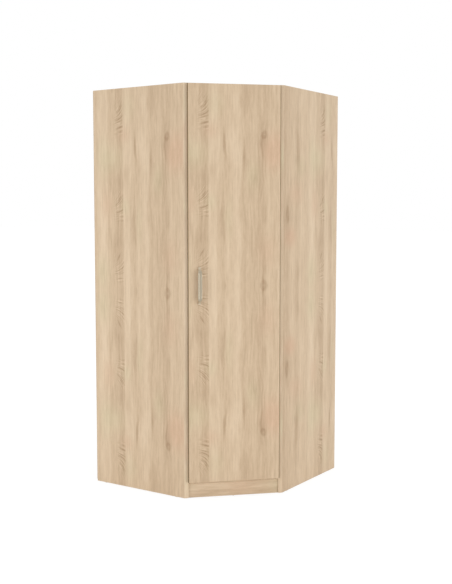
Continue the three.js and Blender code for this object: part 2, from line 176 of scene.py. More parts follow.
def keep_values(mesh, name, domain, values):
    """Keeps a number for each face or point of the mesh, for its material to read."""
    data = mesh.attributes.new(name, "FLOAT", domain).data
    data.foreach_set("value", values.ravel().astype(np.float32))


def added(name, data):
    """A new object of the scene."""
    thing = bpy.data.objects.new(name, data)
    bpy.context.scene.collection.objects.link(thing)
    return thing


def finished(name, mesh, body, material):
    """The mesh as an object of the scene, with its finish, riding on its body."""
    mesh.materials.clear()
    mesh.materials.append(material)
    thing = added(name, mesh)
    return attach(thing, body)


def smoothed(mesh):
    """Smooth shading, with sharp edges kept crisp."""
    mesh.shade_smooth()
    mesh.set_sharp_from_angle(angle=CREASE)
    return mesh


def piece(name, blocks, body, material):
    """One object from closed blocks."""
    points, faces, start = [], [], 0
    for block_points, block_faces in blocks:
        faces += [[start + index for index in face] for face in block_faces]
        points.append(block_points)
        start += len(block_points)
    mesh = bpy.data.meshes.new(name)
    mesh.from_pydata(np.concatenate(points).tolist(), [], faces)
    return finished(name, smoothed(mesh), body, material)


def merged_copy(node, name):
    """A copy of a node's solid with its points merged and its flat faces whole."""
    rig = bmesh.new()
    rig.from_mesh(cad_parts[node].data)
    bmesh.ops.remove_doubles(rig, verts=rig.verts, dist=SAME_PLACE)
    bmesh.ops.dissolve_limit(rig, angle_limit=LEVEL, verts=rig.verts, edges=rig.edges)
    mesh = bpy.data.meshes.new(name)
    rig.to_mesh(mesh)
    rig.free()
    return mesh


def rounded(thing, radius):
    """Rounds the piece's sharp edges."""
    bevel = thing.modifiers.new("arris", "BEVEL")
    bevel.width = radius
    bevel.segments = 2
    bevel.limit_method = "ANGLE"
    bevel.angle_limit = CREASE
    bevel.harden_normals = True
    return thing


def softened(node, body, material, radius):
    """A merged copy of a node with rounded edges, which stands in its place."""
    mesh = smoothed(merged_copy(node, node + "_form"))
    thing = rounded(finished(node + "_form", mesh, body, material), radius)
    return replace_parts(thing, node)


# Materials

class Wires:
    """Short ways to add the shader nodes of one material or world and to join them."""

    def __init__(self, name, library="materials"):
        self.owner = getattr(bpy.data, library).new(name)
        self.owner.use_nodes = True
        self.tree = self.owner.node_tree
        self.tree.nodes.clear()

    def add(self, kind, inputs=None, **settings):
        """A node with its settings, and its sockets filled by name or number."""
        node = self.tree.nodes.new(kind)
        for key, value in settings.items():
            setattr(node, key, value)
        for key, value in (inputs or {}).items():
            self.put(value, node.inputs[key])
        return node

    def put(self, value, socket):
        """Links another node's output to the socket, or sets its constant."""
        if isinstance(value, bpy.types.NodeSocket):
            self.tree.links.new(value, socket)
        else:
            socket.default_value = value

    def math(self, operation, a, b=0.0, c=0.0, clamp=False):
        node = self.add("ShaderNodeMath", operation=operation, use_clamp=clamp)
        for socket, value in zip(node.inputs, (a, b, c)):
            self.put(value, socket)
        return node.outputs[0]

    def minus(self, a, b):
        return self.math("SUBTRACT", a, b)

    def times(self, a, b):
        return self.math("MULTIPLY", a, b)

    def sum(self, *terms):
        total = terms[0]
        for term in terms[1:]:
            total = self.math("ADD", total, term)
        return total

    def blend_of(self, *weighted):
        """The sum of values, each times its weight."""
        return self.sum(*(self.times(value, weight) for value, weight in weighted))

    def place(self, x, y, z=0.0):
        return self.add("ShaderNodeCombineXYZ", {"X": x, "Y": y, "Z": z}).outputs[0]

    def object_place(self, scale):
        """Object coordinates times a scale for each axis."""
        place = self.add("ShaderNodeTexCoord").outputs["Object"]
        return self.add("ShaderNodeMapping", {"Vector": place, "Scale": scale}).outputs[0]

    def noise(self, place, detail=2.0, roughness=0.5, dimensions="2D"):
        """Noise from about -1 to 1, with one bump to a unit."""
        node = self.add("ShaderNodeTexNoise", {
            "Vector": place, "Scale": 1.0, "Detail": detail, "Roughness": roughness,
        }, noise_dimensions=dimensions)
        return self.math("MULTIPLY_ADD", node.outputs[0], 3.2, -1.6)

    def drawn(self, across, along, detail=2.0, roughness=0.5):
        """Noise over two directions, each given with its number of bumps to a metre."""
        return self.noise(self.place(self.times(*across), self.times(*along)), detail, roughness)

    def grit(self, size, detail=2.0, roughness=0.5):
        """Even noise over the piece with bumps of a size in metres."""
        return self.noise(self.object_place((1 / size,) * 3), detail, roughness, "3D")

    def rise(self, value, start, end):
        """0 at start, 1 at end, smooth between them."""
        return self.add("ShaderNodeMapRange", {
            "Value": value, "From Min": start, "From Max": end, "To Min": 0.0, "To Max": 1.0,
        }, interpolation_type="SMOOTHSTEP").outputs[0]

    def spot(self, place, s, t, half_width, half_length, tone=1.0):
        """The tone at a middle, falling to 0 at an ellipse of the given half sizes."""
        from_middle = self.add("ShaderNodeVectorMath", {
            0: place, 1: (1 / half_width, 1 / half_length, 0), 2: (-s / half_width, -t / half_length, 0),
        }, operation="MULTIPLY_ADD").outputs[0]
        reach = self.add("ShaderNodeVectorMath", {0: from_middle}, operation="LENGTH").outputs["Value"]
        return self.add("ShaderNodeMapRange", {
            "Value": reach, "From Min": 1.0, "From Max": 0.0, "To Min": 0.0, "To Max": tone,
        }, interpolation_type="SMOOTHSTEP").outputs[0]

    def ramp(self, value, stops):
        """A ramp through (place, colour or grey) stops."""
        node = self.add("ShaderNodeValToRGB", {"Fac": value})
        elements = node.color_ramp.elements
        while len(elements) < len(stops):
            elements.new(0.5)
        for element, (at, tone) in zip(elements, stops):
            element.position = at
            element.color = (tone, tone, tone, 1) if np.isscalar(tone) else (*tone[:3], 1)
        return node.outputs[0]

    def mixed(self, factor, color, other, way="MIX"):
        """The colour, changed to or by the other one as far as the factor says."""
        node = self.add("ShaderNodeMix", {"Factor": factor}, data_type="RGBA", blend_type=way)
        self.put(color, node.inputs["A"])
        self.put(other, node.inputs["B"])
        return node.outputs["Result"]

    def tinted(self, factor, color, tint):
        return self.mixed(factor, color, (*tint[:3], 1), "MULTIPLY")

    def share_of(self, name):
        """A number that the mesh keeps for each face or point."""
        return self.add("ShaderNodeAttribute", attribute_name=name).outputs["Fac"]

    def bump(self, height, distance):
        return self.add("ShaderNodeBump", {"Height": height, "Distance": distance}).outputs[0]

    def surface(self, color, roughness, normal, **sockets):
        """Ends the tree in one Principled shader and returns the material."""
        shader = self.add("ShaderNodeBsdfPrincipled", {
            "Base Color": color, "Roughness": roughness, "Normal": normal,
        })
        for key, value in sockets.items():
            shader.inputs[key.replace("_", " ")].default_value = value
        self.add("ShaderNodeOutputMaterial", {"Surface": shader.outputs[0]})
        return self.owner


def screen(red, green, blue):
    """A colour given in screen values from 0 to 255, as the linear values that shaders take:
    ((value + 0.055) / 1.055)^2.4, or value / 12.92 near black."""
    value = np.array([red, green, blue]) / 255
    return tuple(np.where(value <= 0.04045, value / 12.92, ((value + 0.055) / 1.055) ** 2.4))


def shades(color, low, high):
    """A darker and a paler shade of one colour, as the two stops of a ramp."""
    return [(at, tuple(share * channel for channel in color)) for at, share in ((0, low), (1, high))]


# The oak print is one sheet: s runs across the grain, in metres from the door's handle side,
# and t along it, in metres from the middle of a board, where the print is mirrored.
PLANK_LINE = 0.110
SHEET_LOW, SHEET_HIGH = -0.40, 0.56
# Tone of the broad streaks along s, from -1, darkest, to 1, palest
STREAKS = (
    (-0.34, -0.9), (-0.25, 0.2), (-0.20, -0.6), (-0.165, 0.5), (-0.13, 0.2), (-0.08, 0.4), (-0.045, 1.0),
    (-0.02, 0.8), (0.00, 0.4), (0.04, -0.1), (0.09, -0.7), (PLANK_LINE - 0.001, -0.7),
    (PLANK_LINE + 0.001, 0.7), (0.145, 0.9), (0.165, 0.3), (0.19, -0.2), (0.21, 0.2), (0.24, 0.4),
    (0.265, 0.9), (0.280, 0.5), (0.300, -0.8), (0.325, -0.2), (0.37, -0.3), (0.41, -0.7), (0.44, 0.0),
    (0.50, 0.2),
)
# Marks in the print: s and t of the middle, half width, half length and tone
MARKS = (
    (0.05, 0.27, 0.08, 0.14, -0.6), (0.08, 0.57, 0.05, 0.12, -0.5), (0.03, 0.73, 0.08, 0.12, 0.5),
    (0.185, 0.34, 0.040, 0.20, -0.7), (0.130, 0.14, 0.04, 0.20, 0.3), (0.250, 0.75, 0.06, 0.14, 0.3),
    (0.360, 0.20, 0.06, 0.26, -0.4), (-0.040, 0.32, 0.05, 0.20, 0.4), (-0.205, 0.08, 0.030, 0.11, -0.8),
    (-0.200, 0.74, 0.030, 0.17, -0.7), (-0.305, 0.42, 0.09, 0.13, -0.5), (0.532, 0.55, 0.010, 0.08, -0.7),
    (0.198, 0.00, 0.010, 0.07, -1.0), (0.197, 0.735, 0.016, 0.11, -1.3), (0.300, 0.67, 0.012, 0.09, -0.9),
    (0.406, 0.78, 0.016, 0.17, -0.5), (0.408, 0.02, 0.014, 0.14, -0.6), (-0.310, 0.38, 0.020, 0.13, -0.6),
    (0.403, 0.72, 0.007, 0.08, -1.1), (0.402, 0.035, 0.006, 0.04, -0.9),
    (0.096, 0.125, 0.025, 0.07, -0.4), (0.092, 0.46, 0.035, 0.06, -0.2), (0.096, 0.92, 0.025, 0.08, -0.3),
    (0.136, 0.60, 0.032, 0.13, -1.0), (0.305, 0.85, 0.045, 0.13, 0.5),
)
# Knots: s and t of the middle, half width, half length and depth of tone
KNOTS = (
    (0.409, 0.000, 0.036, 0.044, 0.55), (0.411, 0.795, 0.025, 0.034, 0.50),
    (-0.308, 0.402, 0.022, 0.070, 0.36),
)
# Figure beside the plank line: middle and half length of each patch along t, how far the patches
# fade out before and after that, and how far from the line they start to fade and are gone
FIGURE = ((0.118, 0.055), (0.440, 0.065), (0.910, 0.075))
FADE_BEFORE, FADE_AFTER = 0.03, 0.04
FIGURE_WIDTH, FIGURE_END = 0.030, 0.082
# Grey-green patches, 1 or less, and pink ones, -1 or more, given as the marks are
CASTS = (
    (-0.04, 0.09, 0.09, 0.15, 1.0), (-0.03, 0.70, 0.09, 0.17, 1.0), (0.05, 0.69, 0.10, 0.11, 0.8),
    (-0.17, 0.65, 0.10, 0.09, 0.7), (0.125, 0.44, 0.06, 0.07, 0.8), (0.350, 0.58, 0.06, 0.12, 0.8),
    (0.145, 0.95, 0.08, 0.11, 0.6), (0.225, 0.35, 0.04, 0.18, 0.6), (0.470, 0.71, 0.10, 0.16, -1.3),
    (-0.280, 0.285, 0.10, 0.08, -1.2), (-0.22, 0.51, 0.12, 0.09, -0.6), (-0.01, 0.45, 0.06, 0.13, -0.5),
    (0.120, 0.81, 0.07, 0.06, -0.5), (0.430, 0.18, 0.09, 0.14, -0.5),
)


def oak_laminate(settings):
    """The oak print on a pressed grain. Streaks, grain, figure, marks and knots add up to one tone
    from dark to pale, and patches of two faint casts lie over it."""
    w = Wires("oak_laminate")
    grain = w.add("ShaderNodeUVMap", uv_map="grain").outputs[0]
    split = w.add("ShaderNodeSeparateXYZ", {"Vector": grain})
    s, t = split.outputs[0], w.math("ABSOLUTE", split.outputs[1])

    # The streaks wander sideways, but not at the plank line, and the fine grain less than they do
    loose = w.rise(w.math("ABSOLUTE", w.minus(s, PLANK_LINE)), 0.0, 0.05)
    sway = w.drawn((s, 11.0), (t, 3.8), 1.0)
    ripple = w.drawn((s, 34.0), (t, 9.0), 3.0, 0.6)
    wander = w.blend_of((sway, 0.0085), (ripple, 0.0050))
    across = w.sum(s, w.times(wander, loose))
    calm = w.sum(s, w.times(sway, 0.003))

    width = SHEET_HIGH - SHEET_LOW
    share = w.times(w.minus(across, SHEET_LOW), 1 / width)
    stops = [((at - SHEET_LOW) / width, 0.5 + tone / 2) for at, tone in STREAKS]
    broad = w.math("MULTIPLY_ADD", w.ramp(share, stops), 2.0, -1.0)

    # Shorter streaks, feathered edges, fine grain and pores
    long_streak = w.drawn((calm, 24.0), (t, 2.4))
    streak = w.drawn((calm, 72.0), (t, 4.6), 3.0, 0.6)
    feather = w.drawn((across, 95.0), (t, 15.0), 2.0, 0.6)
    fine = w.drawn((calm, 260.0), (t, 6.5), 2.0, 0.6)
    pores = w.rise(w.drawn((s, 1250.0), (t, 42.0), 1.0), 0.45, 1.1)

    # Strokes that fan out from the plank line, steep at the far end of each patch
    beside = w.minus(PLANK_LINE, s)
    strip = w.times(w.rise(beside, FIGURE_END, FIGURE_WIDTH), w.math("GREATER_THAN", beside, 0.0))
    patches = []
    for middle, half in FIGURE:
        start, end = middle - half, middle + half
        slope = w.math("MULTIPLY_ADD", w.rise(t, start, end), 1.5, 0.1)
        stroke = w.drawn((w.sum(t, w.times(slope, beside)), 88.0), (beside, 16.0), 3.0, 0.6)
        strokes = w.blend_of((w.rise(stroke, 0.1, -0.8), -1.8), (w.rise(stroke, 0.2, 0.9), 1.6))
        near = w.times(w.rise(t, start - FADE_BEFORE, start), w.rise(t, end + FADE_AFTER, end))
        patches.append(w.times(strokes, near))
    figure = w.times(w.sum(*patches), strip)

    # Marks, and knots: a dark spot with growth lines round a darker core
    place = w.place(across, t)
    marks = w.sum(*(w.spot(place, *mark) for mark in MARKS))
    rings = []
    for knot_s, knot_t, half_width, half_length, depth in KNOTS:
        spot = w.spot(place, knot_s, knot_t, half_width, half_length)
        core = w.spot(place, knot_s, knot_t, half_width * 0.40, half_length * 0.30)
        growth = w.times(w.math("SINE", w.times(spot, 22.0)), spot)
        ring = w.blend_of((w.rise(spot, 0.0, 0.55), 1.3), (core, -1.1), (growth, 0.35))
        rings.append(w.times(ring, -depth))

    tone = w.blend_of(
        (broad, 0.60), (long_streak, 0.28), (streak, 0.40), (feather, 0.32), (fine, 0.28),
        (figure, 0.68), (marks, 0.75), (w.sum(*rings), 1.0), (pores, -0.6),
        # painted light: the side panels' front edges are made paler, against the shade that the door
        # casts on them
        (w.share_of("front_edge_painted_light"), 0.55),
    )
    wood = w.ramp(w.math("MULTIPLY_ADD", tone, 0.244, 0.5, clamp=True), (
        (0.0, settings.dark), (0.5, settings.base), (1.0, settings.pale),
    ))

    drift = w.sum(*(w.spot(place, *cast) for cast in CASTS))
    wood = w.tinted(w.times(w.math("MAXIMUM", drift, 0.0), 0.8), wood, settings.green_cast)
    wood = w.tinted(w.times(w.math("MINIMUM", drift, 0.0), -1.0), wood, settings.pink_cast)

    relief = w.blend_of((fine, 0.25), (streak, 0.15), (pores, -0.8))
    rough = w.math("MULTIPLY_ADD", w.blend_of((pores, 1.0), (fine, 0.3)), 0.10, settings.roughness)
    return w.surface(wood, rough, w.bump(relief, settings.relief), Specular_IOR_Level=0.35)


def fibreboard(settings):
    """Hardboard: pressed fibres of two lengths over a slow cloud, and a pale coat of paint with a
    faint roller grain on the face inside the cabinet."""
    w = Wires("fibreboard")
    cloud, mottle, fibre = w.grit(0.25, 3.0), w.grit(0.014, 3.0, 0.7), w.grit(0.0025, 4.0, 0.7)
    tone = w.sum(0.5, w.blend_of((cloud, 0.10), (mottle, 0.14), (fibre, 0.20)))
    raw = w.ramp(tone, ((0.0, settings.board_dark), (1.0, settings.board_pale)))
    coat = w.ramp(tone, shades(settings.board_paint, 0.94, 1.04))
    painted = w.share_of("painted")
    rough = w.sum(w.times(fibre, 0.06), w.math("MULTIPLY_ADD", painted, -0.25, 0.80))
    return w.surface(w.mixed(painted, raw, coat), rough, w.bump(fibre, 0.00006), Specular_IOR_Level=0.2)


def edge_band_gap_shade(settings):
    """Dark moulded edge band with fine lines along it; its dark colour is painted shade for the gaps
    beside the door.
    """
    w = Wires("edge_band_gap_shade")
    line = w.noise(w.object_place((900.0, 900.0, 6.0)), 2.0, 0.6, "3D")
    cloud = w.grit(0.03)
    tone = w.sum(0.5, w.blend_of((line, 0.22), (cloud, 0.12)))
    rough = w.math("MULTIPLY_ADD", cloud, 0.05, 0.45)
    return w.surface(w.ramp(tone, shades(settings.band, 0.75, 1.25)), rough, w.bump(line, 0.00002))


def brushed_nickel(color):
    """Satin nickel with fine brush lines that run up the handle. The rim attribute is 0 in the
    grip's hollow, which is rougher and painted darker, a painted shade, 1 on its rims, painted
    paler as highlights, and up to 4.5 at the ends of the legs, palest: painted light there."""
    w = Wires("brushed_nickel")
    line = w.noise(w.object_place((2600.0, 2600.0, 30.0)), 2.0, 0.6, "3D")
    smudge = w.grit(0.012)
    rim = w.share_of("rim")
    # The tone follows the rim attribute: painted shade in the hollow, painted highlights on the rims,
    # painted light at the legs' ends
    tone = w.sum(w.math("MULTIPLY_ADD", rim, 0.19, 0.17), w.blend_of((line, 0.08), (smudge, 0.03)))
    polish = w.times(w.math("MINIMUM", rim, 1.0), -0.10)
    rough = w.sum(0.48, polish, w.times(w.sum(line, smudge), 0.04))
    return w.surface(w.ramp(tone, shades(color, 0.72, 1.45)), rough, w.bump(line, 0.00001), Metallic=1.0)


def plated(name, color, roughness, mottle):
    """Plated steel with a soft mottle and fine handling marks."""
    w = Wires(name)
    cloud, grit = w.grit(0.008, 3.0, 0.6), w.grit(0.0007, 1.0)
    tone = w.sum(0.5, w.blend_of((cloud, mottle), (grit, mottle / 2)))
    rough = w.math("MULTIPLY_ADD", cloud, 0.05, roughness)
    return w.surface(w.ramp(tone, shades(color, 0.8, 1.15)), rough, w.bump(grit, 0.000004), Metallic=1.0)


def screw_zinc(name):
    """Zinc plating of the screws."""
    return plated(name, bpy.context.scene.wardrobe_fittings.zinc, 0.34, 0.12)


def moulded_plastic(color):
    """Moulded plastic with the fine grain of its tool."""
    w = Wires("moulded_plastic")
    grain, cloud = w.grit(0.0006), w.grit(0.011)
    tone = w.sum(0.5, w.blend_of((grain, 0.08), (cloud, 0.12)))
    rough = w.math("MULTIPLY_ADD", cloud, 0.05, 0.45)
    return w.surface(w.ramp(tone, shades(color, 0.88, 1.06)), rough, w.bump(grain, 0.00001))


# Settings

def color_setting(name, description, red, green, blue):
    return FloatVectorProperty(
        name=name, description=description, default=screen(red, green, blue), size=3, min=0, max=1,
        subtype="COLOR",
    )


def length_setting(name, description, default):
    return FloatProperty(name=name, description=description, default=default, min=0, unit="LENGTH")


def angle_setting(name, description, degrees):
    default = math.radians(degrees)
    return FloatProperty(name=name, description=description, default=default, subtype="ANGLE")


def power_setting(name, description, default):
    return FloatProperty(name=name, description=description, default=default, min=0, unit="POWER")


class BoardSettings(PropertyGroup):
    base: color_setting("Oak", "Middle tone of the oak print", 213, 188, 157)
    dark: color_setting("Dark grain", "Darkest tone of the oak print", 167, 137, 106)
    pale: color_setting("Pale grain", "Palest tone of the oak print", 243, 221, 192)
    green_cast: color_setting("Green cast", "Tint of the print's grey-green patches", 248, 255, 250)
    pink_cast: color_setting("Pink cast", "Tint of the print's pink patches", 255, 246, 245)
    # The band is real, but its dark colour is painted shade: it stands in for the shadow in the gaps
    # beside the door
    band: color_setting("Edge band", "Band on the door's upright edges", 127, 101, 64)
    roughness: FloatProperty(
        name="Roughness", description="Roughness of the laminate", default=0.52, min=0, max=1,
    )
    relief: length_setting("Relief", "Depth of the pressed grain", 0.00004)
    edge: length_setting("Edge radius", "Rounding of the boards' edges", 0.0007)
    band_thick: length_setting("Band thickness", "Thickness of the door's edge band", 0.0037)
    board_dark: color_setting("Hardboard dark", "Dark fibres of the back panels", 146, 112, 80)
    board_pale: color_setting("Hardboard pale", "Pale fibres of the back panels", 204, 173, 137)
    board_paint: color_setting("Inner face", "Paint on the back panels inside the cabinet", 226, 219, 206)
    nail_step: length_setting("Nail step", "Distance between the nails of a back panel", 0.15)
    nail_rise: length_setting("Nail rise", "How far the nail heads stand off a back panel", 0.0002)


class HandleSettings(PropertyGroup):
    color: color_setting("Nickel", "Colour of the handle's plating", 180, 169, 149)
    foot: length_setting("Foot", "Thickness of the bow at the door", 0.006)
    foot_width: length_setting("Foot width", "Width of the bow at the door", 0.015)
    thick: length_setting("Thickness", "Thickness of the grip", 0.007)
    leg: length_setting("Leg", "Length of each sloping leg", 0.031)
    hollow: length_setting("Hollow", "Depth of the hollow down the grip's front", 0.0011)
    stations: IntProperty(name="Stations", description="Sections along the bow", default=97, min=9)


class FittingSettings(PropertyGroup):
    zinc: color_setting("Zinc", "Zinc-plated screws, pins and cams", 178, 181, 184)
    nickel: color_setting("Hinge nickel", "Nickel-plated hinges", 208, 206, 201)
    chrome: color_setting("Chrome", "Chromed rail and brackets", 216, 218, 220)
    plastic: color_setting("Plastic", "Glides and door bumpers", 232, 229, 222)
    screw: length_setting("Screw head", "Radius of the screws' heads", 0.0036)
    screw_rise: length_setting("Screw rise", "Height of the screws' heads", 0.0016)
    cam: length_setting("Cam", "Radius of the connector cams", 0.0074)
    soft: length_setting("Pressed edge", "Rounding of pressed steel edges", 0.00025)


class StageSettings(PropertyGroup):
    lens: FloatProperty(name="Lens", description="Focal length", default=59.15, min=1, unit="CAMERA")
    right: length_setting("Camera right", "Camera's place to the right of the middle", 3.1068)
    before: length_setting("Camera before", "Camera's place before the middle", 4.5555)
    high: length_setting("Camera height", "Camera's height over the floor", 1.5437)
    azimuth: angle_setting("Azimuth", "Camera's way round the cabinet", 33.854)
    pitch: angle_setting("Pitch", "Camera's tilt down", 4.886)
    daylight: FloatProperty(
        name="Daylight", description="Strength of the even light", default=0.84, min=0,
    )
    key: power_setting("Key lamp", "Power of the lamp on the right", 26.4)
    fill: power_setting("Fill lamp", "Power of the lamp on the left", 25.0)


# Boards

def grain_map(mesh, grain, offset_s, middle_t, stretch_t):
    """Lays the oak print on a board. On each face t runs along the grain, or across it on the end
    faces, and s runs square to t: s = place . (t direction x normal) + offset,
    t = (place . t direction - middle) x stretch."""
    totals = np.empty(len(mesh.polygons), int)
    mesh.polygons.foreach_get("loop_total", totals)
    vertex = np.empty(len(mesh.loops), int)
    mesh.loops.foreach_get("vertex_index", vertex)
    places = places_of(mesh)[vertex]
    normals = np.repeat(face_normals(mesh), totals, axis=0)
    # The end faces of a board are those that look along its grain
    level = TO_RIGHT if abs(grain[2]) > 0.5 else UP
    along = np.where(np.abs(normals @ grain)[:, None] > 0.7, level, grain)
    side = np.cross(along, normals)
    side /= np.maximum(np.linalg.norm(side, axis=1, keepdims=True), 0.1)
    s = np.einsum("ij,ij->i", places, side) + offset_s
    t = (np.einsum("ij,ij->i", places, along) - middle_t) * stretch_t
    layer = mesh.uv_layers.new(name="grain")
    layer.uv.foreach_set("vector", np.stack([s, t], axis=1).astype(np.float32).ravel())


def mark_faces(mesh, name, way):
    """Keeps 1 on the faces that look a given way and 0 on the others, for the material."""
    keep_values(mesh, name, "FACE", face_normals(mesh) @ way > 0.9)


# Where on the sheet the left side panel's print starts at its rear edge, and the right one's at
# its front edge
LEFT_START, RIGHT_START = -0.098, -0.368


def board_table():
    """For each board: the direction of its grain, the print's offset across it, the place along
    it where the print is mirrored, and the print's stretch along it."""
    middle = HEIGHT / 2
    stretch = (DOOR_TOP - DOOR_BOTTOM) / HEIGHT
    return {
        "door": (UP, -DOOR_LEFT, (DOOR_BOTTOM + DOOR_TOP) / 2, 1.0),
        "side_panel_left": (UP, LEFT_START - LEFT_PANEL_LOW[0], middle, stretch),
        "side_panel_right": (UP, RIGHT_START - RIGHT_PANEL_LOW[1], middle, stretch),
        "rear_post": (UP, 0.13, middle, 1.0),
        "plinth_front": (TO_RIGHT, 0.04, -0.41, 1.0),
        "plinth_rear_left": (NORTH, 0.10, 0.30, 1.0),
        "plinth_rear_right": (EAST, 0.20, -0.20, 1.0),
        "top_panel": (TO_RIGHT, 0.05, 0.60, 1.0),
        "bottom_panel": (TO_RIGHT, 0.15, -0.70, 1.0),
        "hat_shelf": (TO_RIGHT, 0.30, 0.20, 1.0),
    }


def cut_back(mesh, outward, amount):
    """Moves the outermost face on one side of the mesh in."""
    places = places_of(mesh)
    reach = places @ outward
    places -= ((reach > reach.max() - ON_FACE) * amount)[:, None] * outward
    mesh.vertices.foreach_set("co", places.ravel())
    mesh.update()


def band_block(edge, inward, thick):
    """Edge band: a flat strip whose two outer corners are quarter circles of its thickness. Each
    point of the outline is thick (1 - cos a) in from the edge and thick (1 - sin a) from a face."""
    angle = np.linspace(0, np.pi / 2, ROUND_POINTS)
    inset, drop = thick * (1 - np.cos(angle)), thick * (1 - np.sin(angle))
    across = np.concatenate([inset[::-1], inset])
    depth = np.concatenate([DOOR_FRONT + drop[::-1], DOOR_INNER - drop])
    outline = (edge + inward * across)[:, None] * TO_RIGHT + depth[:, None] * TO_BACK
    return swept(outline + np.array([DOOR_BOTTOM, DOOR_TOP])[:, None, None] * UP)


class WARDROBE_OT_boards(Operator):
    """Laminated boards with softened edges, and the door's edge bands"""
    bl_idname = "wardrobe.boards"
    bl_label = "Boards"

    def execute(self, context):
        settings = context.scene.wardrobe_boards
        oak = oak_laminate(settings)
        for node, layout in board_table().items():
            mesh = merged_copy(node, node + "_board")
            grain_map(mesh, *layout)
            body, radius = "cabinet", settings.edge
            if node.startswith("side_panel"):
                # The front edges beside the door are marked for painted light, a paler tone against the
                # door's shade
                mark_faces(mesh, "front_edge_painted_light", -TO_BACK)
            if node == "door":
                # Room for the bands, and crisper edges to meet them
                cut_back(mesh, TO_RIGHT, settings.band_thick)
                cut_back(mesh, -TO_RIGHT, settings.band_thick)
                body, radius = "door", settings.edge / 3
            board = finished(node + "_board", mesh, body, oak)
            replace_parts(rounded(board, radius), node)
        # Bands only on the upright edges; their dark colour is painted shade for the gaps there
        sides = ((DOOR_LEFT, 1), (DOOR_RIGHT, -1))
        bands = [band_block(edge, inward, settings.band_thick) for edge, inward in sides]
        piece("door_edge_bands", bands, "door", edge_band_gap_shade(settings))
        return {"FINISHED"}


NAIL_START = 0.06  # from the low end of a row to its first nail
# A nail head's profile from its rim to its middle: radius, and height from the panel's box
NAIL_HEAD = ((0.0017, -0.0006), (0.0018, -0.0002), (0.0013, -0.00005), (0.0002, 0.0))
NAIL_SIDES = 14


def nail_rows(settings):
    """Rows of nails through each back panel: upright rows at its two side edges, level rows
    into the top, the hat shelf and the bottom."""
    low, high = corners("back_panel_left")
    inset = BOARD / 2
    edges = (LEFT_PANEL_LOW[1] + inset, high[1] - inset)
    levels = (HEIGHT - inset, centre_of("hat_shelf")[2], centre_of("bottom_panel")[2])
    rise = np.arange(low[2] + NAIL_START, high[2] - NAIL_START / 2, settings.nail_step)
    run = np.arange(LEFT_FACE + NAIL_START, high[1] - NAIL_START, settings.nail_step)
    spots = [np.stack([np.full_like(rise, edge), rise], 1) for edge in edges]
    spots += [np.stack([run, np.full_like(run, level)], 1) for level in levels]
    return np.concatenate(spots)


class WARDROBE_OT_backs(Operator):
    """Hardboard back panels and their nails"""
    bl_idname = "wardrobe.backs"
    bl_label = "Back panels"

    def execute(self, context):
        settings = context.scene.wardrobe_boards
        material = fibreboard(settings)
        for node, outward in (("back_panel_left", -EAST), ("back_panel_right", NORTH)):
            mesh = merged_copy(node, node + "_sheet")
            # Room for the nail heads, which end level with the panel's box
            cut_back(mesh, outward, settings.nail_rise)
            mark_faces(mesh, "painted", -outward)
            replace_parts(finished(node + "_sheet", mesh, "cabinet", material), node)
        head = revolved(NAIL_HEAD, NAIL_SIDES)
        rear = corners("back_panel_left")[0][0]
        nails = []
        for along, height in nail_rows(settings):
            nails.append(placed(head, (rear, along, height), NORTH, UP, -EAST))
            nails.append(placed(head, (-along, -rear, height), EAST, UP, NORTH))
        zinc = context.scene.wardrobe_fittings.zinc
        piece("back_nails", nails, "cabinet", plated("nail_steel", zinc, 0.42, 0.14))
        return {"FINISHED"}


# Handle

BOW_SIDES = 72  # points round the bow's section
SQUARENESS = 0.32  # power n of its superellipse, which would be an ellipse at 1
HOLLOW_REACH = 0.72  # width of the hollow, as a share of the bow's
CROWDING = 1.35  # how much the stations draw together towards the bow's ends
FULLNESS = 0.8  # power of the ease, which fills out the legs' curve
BACK_START = 0.8  # from the bow's end to the start of its back, in legs
END_PAINTED_LIGHT = 3.5  # painted light: what the rim attribute gains towards the ends of the legs, paling them


def ease(share):
    """0 to 1 along half a cosine wave, and level beyond both ends."""
    return 0.5 - 0.5 * np.cos(np.pi * np.clip(share, 0, 1))


